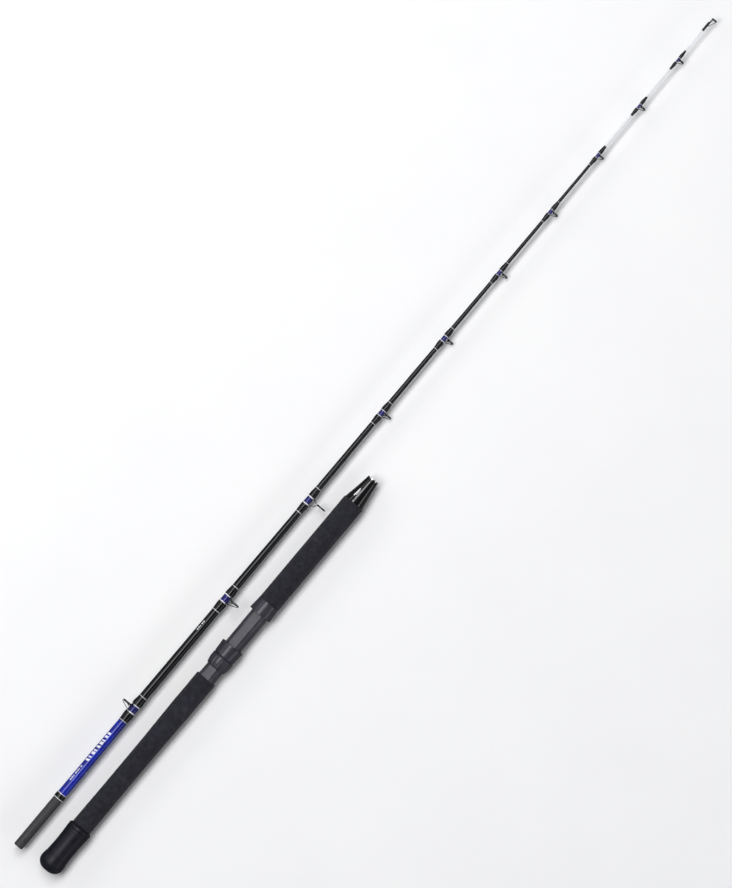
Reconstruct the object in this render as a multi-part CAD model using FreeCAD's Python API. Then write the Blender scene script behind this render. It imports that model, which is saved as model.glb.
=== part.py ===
"""A two-piece boat fishing rod, taken apart: its handle and its tip section lie side by side.

The handle is a glass-fibre tube with two foam grips, a reel seat with a fixed and a sliding hood,
a lock nut, a tapered nose with the socket for the tip section, and a rubber cap over a gimbal nock.
The tip section is a tapered carbon blank with a spigot at its butt and a solid glass tip. Its ten
two-foot line guides wind round it: the first faces the reel, and from the fourth on they face away.

Frame, in millimetres: +X runs from the butt to the tip, +Z is up and Z = 0 is the surface that the
sections lie on. The origin is the centre of the whole object's footprint.
Each section is built along X from its own butt end, and place() then lays it down.
"""

import FreeCAD
import Part

import math
import os
from collections import namedtuple

V = FreeCAD.Vector
X_AXIS = V(1, 0, 0)
ORIGIN = V(0, 0, 0)
OUT = "parts"

# Joint between the two sections: the spigot slides into the socket in the handle's nose.
SPIGOT_R = 7.15
SPIGOT_LENGTH = 87.0
SOCKET_CLEARANCE = 0.05
SOCKET_R = SPIGOT_R + SOCKET_CLEARANCE
SOCKET_DEPTH = 92.0

# Handle, measured along X from the butt.
HANDLE_LENGTH = 710.0
TUBE_R = 8.1
TUBE_BORE_R = 6.6
TUBE_START = 30.0
CAP_LENGTH = 77.0
CAP_BULB_R = 18.45
CAP_BULB_X = 14.0
CAP_WAIST_R = 16.7
CAP_LIP_R = 17.8
CAP_BORE_R = 14.2
CAP_FLOOR = 12.0
NOCK_R = 13.9
NOCK_START = 12.4
NOCK_SLOT = 6.0
NOCK_SLOT_DEPTH = 11.0
REAR_GRIP_START = 77.4
REAR_GRIP_R = 14.65
REAR_GRIP_BUTT_R = 15.1
REAR_GRIP_SEAT_R = 15.7
REAR_GRIP_END = 348.0
FORE_GRIP_R = 16.25
FORE_GRIP_START = 484.0
FORE_GRIP_END = 667.5
GRIP_EDGE = 1.2

# Reel seat. SEAT_ROLL turns its flat saddle about X, from straight up towards +Y.
SEAT_ROLL = -15.0
SEAT_R = 13.3
SEAT_BORE_R = 10.0
SEAT_INSET = 9.0
SADDLE_HEIGHT = 11.6
THREAD_START = 351.0
THREAD_END = 440.0
THREAD_PITCH = 2.0
THREAD_DEPTH = 0.45
MOVING_CLEARANCE = 0.2
NUT_START = 367.0
NUT_LENGTH = 18.5
NUT_R = 16.8
NUT_FLUTES = 12
NUT_FLUTE_R = 2.2
HOOD_START = 386.0
HOOD_LENGTH = 19.5
HOOD_ROOT_R = 16.0
HOOD_MOUTH_R = 17.25
HOOD_END_WALL = 4.5
HOOD_LIFT = 1.8  # each hood's roof is raised over the saddle by this much
FIXED_HOOD_START = 464.0
FIXED_HOOD_LENGTH = 20.0
POCKET_HALF_WIDTH = 6.6
POCKET_R = 15.4
ARBOR_LENGTH = 12.0
ARBOR_X = (352.0, 412.0, 472.0)

# Nose: a gloss cone with a bright ring round the socket's mouth.
NOSE_BASE_R = 15.4
NOSE_TIP_R = 8.75
NOSE_RING = 1.6

# Tip section, measured along X from the spigot's end.
COLLAR_LENGTH = 9.0
COLLAR_R = 7.75
BLANK_START = SPIGOT_LENGTH
BLANK_END = 1262.0
BLANK_TAPER = ((87.0, 6.85), (425.0, 5.8), (667.0, 4.25), (979.0, 2.9), (1262.0, 1.95))
BLANK_BORE = ((87.0, 5.6), (1262.0, 1.2))
SPIGOT_PLUG = 45.0
SPIGOT_BORE_R = 4.6
LACQUER_LENGTH = 131.0
LACQUER_THICKNESS = 0.12
GLASS_TENON = 40.0
GLASS_TIP_R = 1.75
GLASS_END_R = 1.1
GLASS_END = 1496.0

# Line guides: where they sit, ring size, ring height over the blank's axis, and roll about X
# from straight up towards -Y. The roll is the spiral: 0, 79, 127, then 180 degrees from the first.
FIRST_ROLL = -37.0
Guide = namedtuple("Guide", "x ring_r height roll")
GUIDES = (
    Guide(250.0, 7.5, 20.2, FIRST_ROLL),
    Guide(450.5, 7.3, 20.2, FIRST_ROLL + 79.5),
    Guide(629.5, 7.3, 20.2, FIRST_ROLL + 127.0),
    Guide(788.0, 5.4, 15.8, FIRST_ROLL + 180.0),
    Guide(923.5, 5.2, 15.6, FIRST_ROLL + 180.0),
    Guide(1043.0, 4.8, 13.8, FIRST_ROLL + 180.0),
    Guide(1154.0, 4.5, 12.1, FIRST_ROLL + 180.0),
    Guide(1256.5, 4.2, 9.2, FIRST_ROLL + 180.0),
    Guide(1346.0, 4.2, 9.4, FIRST_ROLL + 180.0),
    Guide(1430.0, 4.2, 8.4, FIRST_ROLL + 180.0),
)
VEE_GUIDE = 3  # this guide's rear legs stop at the foot of its ring, the others reach its crown
FRAME_RING_WIDTH = 0.55
FRAME_RING_LENGTH = 1.4
INSERT_WIDTH = 0.6
INSERT_LENGTH = 2.2
WIRE_R = 0.5
LEG_OFFSET = 0.55
LEG_ROOT = 1.5
FOOT_WIDTH = 2.8
FOOT_THICKNESS = 0.9
FOOT_TOE = 0.25
WRAP_OVER_FOOT = 1.3
WRAP_EDGE = 0.35
BAND_OVER_BLANK = 0.3
TRIM_LENGTH = 1.0
INNER_TRIM_LENGTH = 1.6
INNER_TRIM_OVER = 0.75

# Tip top: a tube over the glass tip with a ring in front of it.
TIP_TUBE_START = 1483.5
TIP_TUBE_LENGTH = 15.0
TIP_TUBE_R = 1.75
TIP_RING_X = 1505.5
TIP_RING_R = 4.2
TIP_RING_HEIGHT = 5.9
TIP_ARM_R = 0.75
TIP_BRACE_R = 0.4

# How the sections lie: parallel, butt ends level, both axes as high as the cap's bulb is round.
AXIS_HEIGHT = CAP_BULB_R
SECTION_GAP = 50.6
TIP_LENGTH = TIP_RING_X + INSERT_LENGTH / 2
FIRST = GUIDES[0]
REACH = -FIRST.height * math.sin(math.radians(FIRST.roll)) + FIRST.ring_r
BUTT_X = -TIP_LENGTH / 2
HANDLE_Y = -(SECTION_GAP + REACH - CAP_BULB_R) / 2
TIP_Y = HANDLE_Y + SECTION_GAP


def guide_gap(guide):
    """The bare stretch between a guide's two feet."""
    return 2.4 + guide.ring_r


def guide_wrap(guide):
    """The length of thread over each foot."""
    return 10.5 + 0.85 * guide.ring_r


def guide_ring_x(guide):
    """The ring stands a little in front of the middle of its two feet."""
    return guide.x + 0.3 * guide_gap(guide)


def blank_r(x):
    """The outside radius at x of the blank, or of the glass tip beyond it."""
    outline = BLANK_TAPER if x <= BLANK_END else ((BLANK_END, GLASS_TIP_R), (GLASS_END, GLASS_END_R))
    for (x0, r0), (x1, r1) in zip(outline, outline[1:]):
        if x <= x1:
            return r0 + (r1 - r0) * (x - x0) / (x1 - x0)
    return GLASS_END_R


def bore_r(x):
    """The radius at x of the blank's tapered bore."""
    (x0, r0), (x1, r1) = BLANK_BORE
    return r0 + (r1 - r0) * (x - x0) / (x1 - x0)


def point(x, r):
    return V(x, 0, r)


def face(start, *steps):
    """A face in the XZ plane. A step is a point for a straight edge, or (middle, end) for an arc."""
    edges = []
    at = point(*start)
    for step in steps + (start,):
        if isinstance(step[0], tuple):
            middle, end = point(*step[0]), point(*step[1])
            edges.append(Part.Arc(at, middle, end).toShape())
        else:
            end = point(*step)
            if at.distanceToPoint(end) < 1e-6:
                continue
            edges.append(Part.LineSegment(at, end).toShape())
        at = end
    return Part.Face(Part.Wire(edges))


def turned(start, *steps):
    """The face turned once round X."""
    return face(start, *steps).revolve(ORIGIN, X_AXIS, 360)


def tube(x0, x1, outer, bore):
    return turned((x0, bore), (x1, bore), (x1, outer), (x0, outer))


def rod_of(x0, x1, radius):
    return Part.makeCylinder(radius, x1 - x0, V(x0, 0, 0), X_AXIS)


def block(x0, x1, y0, y1, z0, z1):
    return Part.makeBox(x1 - x0, y1 - y0, z1 - z0, V(x0, y0, z0))


def rolled(shape, angle):
    """The shape turned about X by angle degrees: positive takes +Z towards -Y."""
    turn = shape.copy()
    turn.rotate(ORIGIN, X_AXIS, angle)
    return turn


# ---- handle -------------------------------------------------------------------------------


def handle_tube():
    """Full-length tube. Its front end is bored out as the socket, and the step stops the spigot."""
    step = HANDLE_LENGTH - SOCKET_DEPTH
    return turned(
        (TUBE_START, TUBE_BORE_R),
        (step, TUBE_BORE_R),
        (step, SOCKET_R),
        (HANDLE_LENGTH, SOCKET_R),
        (HANDLE_LENGTH, TUBE_R),
        (TUBE_START, TUBE_R),
    )


def rear_grip():
    """Long foam grip with a gentle waist, counterbored where the reel seat enters it."""
    x0, x1 = REAR_GRIP_START, REAR_GRIP_END
    waist = x0 + 0.4 * (x1 - x0)
    swell = x1 - 0.22 * (x1 - x0)
    inset = x1 - SEAT_INSET
    middle_r = REAR_GRIP_R + 0.28 * (REAR_GRIP_SEAT_R - REAR_GRIP_R)
    return turned(
        (x0, TUBE_R),
        (inset, TUBE_R),
        (inset, SEAT_R),
        (x1, SEAT_R),
        (x1, REAR_GRIP_SEAT_R - GRIP_EDGE),
        ((x1 - 0.3 * GRIP_EDGE, REAR_GRIP_SEAT_R - 0.3 * GRIP_EDGE), (x1 - GRIP_EDGE, REAR_GRIP_SEAT_R)),
        (swell, REAR_GRIP_SEAT_R),
        (((swell + waist) / 2, middle_r), (waist, REAR_GRIP_R)),
        (((x0 + waist) / 2, REAR_GRIP_R + 0.1), (x0, REAR_GRIP_BUTT_R)),
    )


def fore_grip():
    """Straight foam grip, counterbored for the reel seat at its rear end."""
    x0, x1 = FORE_GRIP_START, FORE_GRIP_END
    inset = x0 + SEAT_INSET
    r = FORE_GRIP_R
    return turned(
        (x0, SEAT_R),
        (inset, SEAT_R),
        (inset, TUBE_R),
        (x1, TUBE_R),
        (x1, r - GRIP_EDGE),
        ((x1 - 0.7 * GRIP_EDGE, r - 0.3 * GRIP_EDGE), (x1 - 2 * GRIP_EDGE, r)),
        (x0 + GRIP_EDGE, r),
        ((x0 + 0.3 * GRIP_EDGE, r - 0.3 * GRIP_EDGE), (x0, r - GRIP_EDGE)),
    )


def butt_cap():
    """Rubber cap: a domed bulb, a waist and a lip, with a blind bore for the nock."""
    dome_flat_r = CAP_BULB_R - CAP_BULB_X
    bulge = CAP_BULB_X * (1 - math.sqrt(0.5))
    shoulder = (CAP_BULB_X + 10.0, CAP_WAIST_R + 0.6)
    return turned(
        (0, 0),
        (CAP_FLOOR, 0),
        (CAP_FLOOR, CAP_BORE_R),
        (CAP_LENGTH, CAP_BORE_R),
        (CAP_LENGTH, CAP_LIP_R - 2.2),
        (CAP_LENGTH - 2.5, CAP_LIP_R),
        (CAP_LENGTH - 9.0, CAP_LIP_R),
        ((CAP_LENGTH / 2 + 2.0, CAP_WAIST_R), shoulder),
        ((CAP_BULB_X + 5.0, CAP_BULB_R - 0.3), (CAP_BULB_X, CAP_BULB_R)),
        ((bulge, CAP_BULB_R - bulge), (0, dome_flat_r)),
    )


def gimbal_nock():
    """Plug on the tube's end under the cap, with the crossed slots that sit on a gimbal's pin."""
    body = turned(
        (NOCK_START, 0),
        (TUBE_START, 0),
        (TUBE_START, TUBE_R),
        (CAP_LENGTH, TUBE_R),
        (CAP_LENGTH, NOCK_R),
        (NOCK_START + 1.0, NOCK_R),
        (NOCK_START, NOCK_R - 1.0),
    )
    half, far = NOCK_SLOT / 2, CAP_BULB_R
    slot = block(0, NOCK_START + NOCK_SLOT_DEPTH, -half, half, -far, far)
    return body.cut(slot.fuse(rolled(slot, 90)))


def above_saddle(x0, x1, height, half_width):
    """A block over the saddle's flat, from height upwards, turned with the seat."""
    return rolled(block(x0, x1, -half_width, half_width, height, CAP_BULB_R + 5), SEAT_ROLL)


def reel_seat_barrel():
    """Barrel with a flat saddle for the reel's foot and ring grooves that stand for its thread."""
    x0, x1 = REAR_GRIP_END - SEAT_INSET, FORE_GRIP_START + SEAT_INSET
    barrel = tube(x0, x1, SEAT_R, SEAT_BORE_R)
    groove_end = THREAD_START + 0.4 * THREAD_PITCH
    groove = tube(THREAD_START, groove_end, SEAT_R + 0.1, SEAT_R - THREAD_DEPTH)
    count = int((THREAD_END - THREAD_START) / THREAD_PITCH)
    grooves = []
    for turn in range(count):
        ring = groove.copy()
        ring.translate(V(turn * THREAD_PITCH, 0, 0))
        grooves.append(ring)
    saddle_end = FIXED_HOOD_START + FIXED_HOOD_LENGTH - HOOD_END_WALL
    flat = above_saddle(REAR_GRIP_END, saddle_end, SADDLE_HEIGHT, SEAT_R)
    return barrel.cut(grooves).cut(flat)


def raised(shape):
    """The shape together with a copy of itself lifted over the saddle."""
    copy = rolled(shape, -SEAT_ROLL)
    copy.translate(V(0, 0, HOOD_LIFT))
    return shape.fuse(rolled(copy, SEAT_ROLL))


def hood_pocket(mouth, end):
    """The space in a hood that swallows one end of the reel's foot: round above, flat on the saddle."""
    x0, x1 = sorted((mouth, end))
    bore = raised(rod_of(x0, x1, POCKET_R))
    return bore.common(above_saddle(x0, x1, SADDLE_HEIGHT, POCKET_HALF_WIDTH))


def sliding_hood():
    """Flared ring that the lock nut pushes along the barrel. Its end wall is keyed to the saddle."""
    x0, x1 = HOOD_START, HOOD_START + HOOD_LENGTH
    wall = x0 + HOOD_END_WALL
    ring = turned(
        (x0, 0), (x1, 0), (x1, HOOD_MOUTH_R), (x0 + 1.0, HOOD_ROOT_R), (x0, HOOD_ROOT_R - 1.0)
    )
    bore = rod_of(x0, x1, SEAT_R + MOVING_CLEARANCE)
    key = above_saddle(x0, wall, SADDLE_HEIGHT + MOVING_CLEARANCE, SEAT_R)
    return raised(ring).cut(bore.cut(key)).cut(hood_pocket(x1, wall))


def fixed_hood():
    """Flared ring moulded on the front of the barrel. Its mouth faces the sliding hood."""
    x0, x1 = FIXED_HOOD_START, FIXED_HOOD_START + FIXED_HOOD_LENGTH
    ring = turned((x0, 0), (x1, 0), (x1, HOOD_ROOT_R), (x0, HOOD_MOUTH_R))
    pocket = hood_pocket(x0, x1 - HOOD_END_WALL)
    return raised(ring).cut(rod_of(x0, x1, SEAT_R)).cut(pocket)


def lock_nut():
    """Rounded nut with finger flutes. Its plain bore stands for the thread."""
    x0, x1 = NUT_START, NUT_START + NUT_LENGTH
    bore_r = SEAT_R + MOVING_CLEARANCE
    crown = x0 + 0.7 * NUT_LENGTH
    body = turned(
        (x0, bore_r),
        (x1, bore_r),
        (x1, NUT_R - 0.8),
        ((x1 - 2.0, NUT_R - 0.2), (crown, NUT_R)),
        ((x0 + 0.3 * NUT_LENGTH, NUT_R - 0.7), (x0, bore_r + 0.8)),
    )
    flutes = []
    for turn in range(NUT_FLUTES):
        flute = rod_of(x0 + 3.0, x1 - 3.0, NUT_FLUTE_R)
        flute.translate(V(0, 0, NUT_R + NUT_FLUTE_R - 0.6))
        flutes.append(rolled(flute, turn * 360.0 / NUT_FLUTES))
    return body.cut(flutes)


def seat_arbors():
    """Foam bushes that centre the barrel on the tube."""
    return [tube(x, x + ARBOR_LENGTH, SEAT_BORE_R, TUBE_R) for x in ARBOR_X]


def nose_cone():
    """Gloss cone from the fore grip down to the socket's mouth, with a slightly hollow flank."""
    x0, x1 = FORE_GRIP_END, HANDLE_LENGTH - NOSE_RING
    middle = ((x0 + x1) / 2, (NOSE_BASE_R + NOSE_TIP_R) / 2 - 0.5)
    return turned((x0, TUBE_R), (x1, TUBE_R), (x1, NOSE_TIP_R), (middle, (x0, NOSE_BASE_R)))


def nose_ring():
    return tube(HANDLE_LENGTH - NOSE_RING, HANDLE_LENGTH, NOSE_TIP_R + 0.1, TUBE_R)


# ---- tip section --------------------------------------------------------------------------


def ferrule_spigot():
    """Sanded carbon spigot, glued into the blank by its thinner plug."""
    plug_end = SPIGOT_LENGTH + SPIGOT_PLUG
    return turned(
        (0, SPIGOT_BORE_R),
        (plug_end, SPIGOT_BORE_R),
        (plug_end, bore_r(plug_end)),
        (SPIGOT_LENGTH, bore_r(SPIGOT_LENGTH)),
        (SPIGOT_LENGTH, SPIGOT_R),
        (0.6, SPIGOT_R),
        (0, SPIGOT_R - 0.6),
    )


def carbon_blank():
    """Hollow tapered tube."""
    return turned(*BLANK_BORE, *reversed(BLANK_TAPER))


def lacquer_sleeve():
    """Coat of blue lacquer on the blank's butt, between the collar and the first guide."""
    x0 = SPIGOT_LENGTH + COLLAR_LENGTH
    x1 = x0 + LACQUER_LENGTH
    r0, r1 = blank_r(x0), blank_r(x1)
    return turned((x0, r0), (x1, r1), (x1, r1 + LACQUER_THICKNESS), (x0, r0 + LACQUER_THICKNESS))


def glass_tip():
    """Solid white glass tip. Its tenon fills the end of the blank's bore."""
    tenon = BLANK_END - GLASS_TENON
    return turned(
        (tenon, 0),
        (GLASS_END, 0),
        (GLASS_END, GLASS_END_R),
        (BLANK_END, GLASS_TIP_R),
        (BLANK_END, bore_r(BLANK_END)),
        (tenon, bore_r(tenon)),
    )


def solid_blank():
    """The blank and the glass tip as one solid without a bore, to trim what sits on them."""
    glass = ((BLANK_END, GLASS_TIP_R), (GLASS_END, GLASS_END_R), (GLASS_END, 0))
    return turned((BLANK_START, 0), *BLANK_TAPER, *glass)


def band(x0, x1, over0, over1):
    """A band of thread on the blank, thicker than the blank by over0 at x0 and over1 at x1."""
    r0, r1 = blank_r(x0), blank_r(x1)
    return turned((x0, r0), (x1, r1), (x1, r1 + over1), (x0, r0 + over0))


def foot(guide, side):
    """One flat foot, thinning to its toe. Side is 1 for the front foot and -1 for the rear one."""
    heel = guide.x + side * guide_gap(guide) / 2
    toe = guide.x + side * (guide_gap(guide) / 2 + 0.8 * guide_wrap(guide))
    r_heel, r_toe = blank_r(heel), blank_r(toe)
    side_view = face(
        (heel, r_heel - 0.5),
        (toe, r_toe - 0.5),
        (toe, r_toe + FOOT_TOE),
        (heel + side * LEG_ROOT, r_heel + FOOT_THICKNESS),
        (heel, r_heel + FOOT_THICKNESS),
    )
    side_view.translate(V(0, -FOOT_WIDTH / 2, 0))
    return side_view.extrude(V(0, FOOT_WIDTH, 0))


def front_leg(guide):
    """The bent strip that rises from the front foot to the underside of the ring. It clears the
    thread band between the feet."""
    ring_x = guide_ring_x(guide)
    half = FRAME_RING_LENGTH / 2
    ring_low = guide.height - guide.ring_r + FRAME_RING_WIDTH / 2
    front = guide.x + guide_gap(guide) / 2
    base = blank_r(front)
    low = base + BAND_OVER_BLANK + 0.1
    rise = ring_low - base
    outside = ring_x + 0.45 * (front + LEG_ROOT - ring_x) + half
    inside = ring_x + 0.35 * (front - ring_x) - 0.2 * half
    side_view = face(
        (front, base - 0.5),
        (front + LEG_ROOT, base - 0.5),
        (front + LEG_ROOT, base + FOOT_THICKNESS),
        ((outside, base + 0.45 * rise), (ring_x + half, ring_low)),
        (ring_x - half, ring_low),
        ((inside, base + 0.4 * rise), (front, low)),
    )
    side_view.translate(V(0, -FOOT_WIDTH / 2, 0))
    return side_view.extrude(V(0, FOOT_WIDTH, 0))


def wire(path):
    """A round wire along a list of edges."""
    line = Part.Wire(path)
    start = line.Edges[0].valueAt(line.Edges[0].FirstParameter)
    along = line.Edges[0].tangentAt(line.Edges[0].FirstParameter)
    section = Part.Wire([Part.Circle(start, along, WIRE_R).toShape()])
    return line.makePipeShell([section], True, False)


def rear_root(guide):
    """Where the rear legs leave their foot."""
    x = guide.x - guide_gap(guide) / 2 - LEG_OFFSET
    return V(x, 0, blank_r(x) + FOOT_THICKNESS / 2)


def rear_hoop(guide):
    """A wire loop that leans from the rear foot to the ring's crown, as wide as the ring so that
    the line runs through it: two straight legs that run into an arc over the crown."""
    root = rear_root(guide)
    crown = V(guide_ring_x(guide), 0, guide.height + guide.ring_r - FRAME_RING_WIDTH / 2)
    along = (crown - root).normalize()
    aside = V(0, 1, 0)
    arc_r = guide.ring_r - FRAME_RING_WIDTH / 2
    start = FOOT_WIDTH / 2 - WIRE_R
    centre = crown.distanceToPoint(root) - arc_r
    distance = math.hypot(centre, start)
    leg = math.sqrt(distance**2 - arc_r**2)
    angle = math.asin(arc_r / distance) - math.atan2(start, centre)
    rise, spread = leg * math.cos(angle), start + leg * math.sin(angle)
    feet = [root + aside * (side * start) for side in (1, -1)]
    tangents = [root + along * rise + aside * (side * spread) for side in (1, -1)]
    return wire(
        [
            Part.LineSegment(feet[0], tangents[0]).toShape(),
            Part.Arc(tangents[0], crown, tangents[1]).toShape(),
            Part.LineSegment(tangents[1], feet[1]).toShape(),
        ]
    )


def rear_vee(guide):
    """Two straight wires from the rear foot to the lower sides of the ring."""
    root = rear_root(guide)
    spread = FOOT_WIDTH / 2 - WIRE_R
    reach = guide.ring_r - FRAME_RING_WIDTH / 2
    below = math.radians(50)
    wires = []
    for sign in (1, -1):
        start = root + V(0, sign * spread, 0)
        end = V(guide_ring_x(guide), sign * reach * math.cos(below), guide.height - reach * math.sin(below))
        wires.append(Part.makeCylinder(WIRE_R, start.distanceToPoint(end), start, end - start))
    return wires[0].fuse(wires[1])


def insert_of(x, height, ring_r):
    """The ceramic insert that fills a frame's ring."""
    outer = ring_r - FRAME_RING_WIDTH
    half, edge = INSERT_LENGTH / 2, outer - 0.3 * INSERT_WIDTH
    section = face(
        (x - FRAME_RING_LENGTH / 2, outer),
        (x + FRAME_RING_LENGTH / 2, outer),
        (x + half, edge),
        ((x, outer - INSERT_WIDTH), (x - half, edge)),
    )
    ring = section.revolve(ORIGIN, X_AXIS, 360)
    ring.translate(V(0, 0, height))
    return ring


def guide_parts(number, guide, core):
    """One guide's frame, its ceramic ring and the two thread wraps over its feet."""
    x, h = guide_ring_x(guide), guide.height
    hole = rod_of(x - guide_gap(guide), x + guide_gap(guide), guide.ring_r - FRAME_RING_WIDTH)
    hole.translate(V(0, 0, h))
    ring = tube(x - FRAME_RING_LENGTH / 2, x + FRAME_RING_LENGTH / 2, guide.ring_r, 0.5 * guide.ring_r)
    ring.translate(V(0, 0, h))
    legs = rear_vee(guide) if number == VEE_GUIDE else rear_hoop(guide)
    frame = foot(guide, -1).fuse([foot(guide, 1), front_leg(guide), legs, ring])
    frame = frame.cut(hole).cut(core).removeSplitter()
    insert = insert_of(x, h, guide.ring_r)
    wraps = []
    gap, length = guide_gap(guide) / 2, guide_wrap(guide)
    for side in (-1, 1):
        near = guide.x + side * (gap + INNER_TRIM_LENGTH)
        far = guide.x + side * (gap + length - TRIM_LENGTH)
        shoulder = near + 0.35 * (far - near)
        r_near, r_far = blank_r(near), blank_r(far)
        crown = blank_r(shoulder) + WRAP_OVER_FOOT
        wrap = turned(
            (near, r_near),
            (far, r_far),
            (far, r_far + WRAP_EDGE),
            (((far + shoulder) / 2, (crown + r_far + WRAP_EDGE) / 2 + 0.2), (shoulder, crown)),
            (near, r_near + WRAP_OVER_FOOT - 0.2),
        )
        wraps.append(wrap)
    return frame, insert, wraps


def guide_bands(guide):
    """The blue band between the feet, and the silver trims at the ends of both wraps."""
    gap, length = guide_gap(guide) / 2, guide_wrap(guide)
    blue = band(guide.x - gap, guide.x + gap, BAND_OVER_BLANK, BAND_OVER_BLANK)
    trims = []
    for side in (-1, 1):
        near, far = gap, gap + length
        inner = sorted((guide.x + side * near, guide.x + side * (near + INNER_TRIM_LENGTH)))
        outer = sorted((guide.x + side * (far - TRIM_LENGTH), guide.x + side * far))
        trims.append(band(*inner, INNER_TRIM_OVER, INNER_TRIM_OVER))
        trims.append(band(*outer, WRAP_EDGE, WRAP_EDGE))
    return blue, trims


def collar():
    """Black thread collar at the root of the spigot, and its two silver trims."""
    x0, x1 = SPIGOT_LENGTH, SPIGOT_LENGTH + COLLAR_LENGTH
    inner0, inner1 = blank_r(x0), blank_r(x1)
    wrap = turned(
        (x0 + TRIM_LENGTH, blank_r(x0 + TRIM_LENGTH)),
        (x1 - TRIM_LENGTH, blank_r(x1 - TRIM_LENGTH)),
        (x1 - TRIM_LENGTH, COLLAR_R),
        (x0 + TRIM_LENGTH, COLLAR_R),
    )
    trims = [
        band(x0, x0 + TRIM_LENGTH, COLLAR_R - inner0 - 0.2, COLLAR_R - inner0 - 0.1),
        band(x1 - TRIM_LENGTH, x1, COLLAR_R - inner1 - 0.2, COLLAR_R - inner1 - 0.4),
    ]
    return wrap, trims


def tip_top():
    """The end fitting: a tube, a ring ahead of it, the arm that carries the ring, and two braces."""
    x0, x1 = TIP_TUBE_START, TIP_TUBE_START + TIP_TUBE_LENGTH
    half = FRAME_RING_LENGTH / 2
    ring = tube(TIP_RING_X - half, TIP_RING_X + half, TIP_RING_R, 0.5 * TIP_RING_R)
    ring.translate(V(0, 0, TIP_RING_HEIGHT))
    arm_start = V(x1 - 1.5, 0, 0)
    arm_end = V(TIP_RING_X, 0, TIP_RING_HEIGHT - TIP_RING_R + FRAME_RING_WIDTH / 2)
    arm_length = arm_start.distanceToPoint(arm_end)
    legs = [Part.makeCylinder(TIP_ARM_R, arm_length, arm_start, arm_end - arm_start)]
    brace_reach = TIP_RING_R - FRAME_RING_WIDTH / 2
    for side in (1, -1):
        start = V(x1 - 5.0, side * 1.0, TIP_TUBE_R - 0.5)
        end = V(TIP_RING_X, side * 0.8 * brace_reach, TIP_RING_HEIGHT + 0.6 * brace_reach)
        length = start.distanceToPoint(end)
        legs.append(Part.makeCylinder(TIP_BRACE_R, length, start, end - start))
    hole = rod_of(TIP_RING_X - INSERT_LENGTH, TIP_RING_X + INSERT_LENGTH, TIP_RING_R - FRAME_RING_WIDTH)
    hole.translate(V(0, 0, TIP_RING_HEIGHT))
    frame = rod_of(x0, x1, TIP_TUBE_R).fuse([ring] + legs).cut(hole).cut(solid_blank())
    insert = insert_of(TIP_RING_X, TIP_RING_HEIGHT, TIP_RING_R)
    roll = GUIDES[-1].roll
    return rolled(frame.removeSplitter(), roll), rolled(insert, roll)


# ---- assembly -----------------------------------------------------------------------------


def place(shape, y):
    laid = shape.copy()
    laid.translate(V(BUTT_X, y, AXIS_HEIGHT))
    return laid


def handle_nodes():
    return {
        "handle_tube": [handle_tube()],
        "rear_grip": [rear_grip()],
        "fore_grip": [fore_grip()],
        "butt_cap": [butt_cap()],
        "gimbal_nock": [gimbal_nock()],
        "reel_seat_barrel": [reel_seat_barrel()],
        "fixed_hood": [fixed_hood()],
        "sliding_hood": [sliding_hood()],
        "lock_nut": [lock_nut()],
        "seat_arbors": seat_arbors(),
        "nose_cone": [nose_cone()],
        "nose_ring": [nose_ring()],
    }


def tip_nodes():
    core = solid_blank()
    nodes = {
        "ferrule_spigot": [ferrule_spigot()],
        "carbon_blank": [carbon_blank()],
        "blue_lacquer": [lacquer_sleeve()],
        "glass_tip": [glass_tip()],
    }
    collar_wrap, trims = collar()
    nodes["collar_wrap"] = [collar_wrap]
    blue_bands = []
    for number, guide in enumerate(GUIDES, start=1):
        frame, insert, wraps = guide_parts(number, guide, core)
        frame, insert = rolled(frame, guide.roll), rolled(insert, guide.roll)
        blue, silver = guide_bands(guide)
        nodes[f"guide_frame_{number}"] = [frame]
        nodes[f"guide_ring_{number}"] = [insert]
        nodes[f"guide_wraps_{number}"] = [wrap.cut(frame) for wrap in wraps]
        blue_bands.append(blue)
        trims += [trim.cut(frame) for trim in silver]
    nodes["blue_bands"] = blue_bands
    nodes["silver_trims"] = trims
    tip_frame, tip_insert = tip_top()
    nodes["tip_top_frame"] = [tip_frame]
    nodes["tip_top_ring"] = [tip_insert]
    return nodes


def write(nodes, y):
    for name, shapes in nodes.items():
        solids = [place(solid, y) for shape in shapes for solid in shape.Solids]
        whole = solids[0] if len(solids) == 1 else Part.makeCompound(solids)
        whole.exportStep(os.path.join(OUT, name + ".step"))
        volume = sum(solid.Volume for solid in solids)
        print(f"{name}: {len(solids)} solids, {volume:.0f} mm3, valid {whole.isValid()}")


def main():
    os.makedirs(OUT, exist_ok=True)
    write(handle_nodes(), HANDLE_Y)
    write(tip_nodes(), TIP_Y)


main()
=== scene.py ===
# %% [markdown]
# # A two-piece boat rod, dressed piece by piece
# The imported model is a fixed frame: its nodes carry the sizes and the moving bodies. This lesson
# loads it, measures it, and builds a detailed piece over each plain solid.

# %% Load the frame
import math
from collections import namedtuple

import bmesh
import bpy
from mathutils import Matrix, Vector, noise


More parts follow.
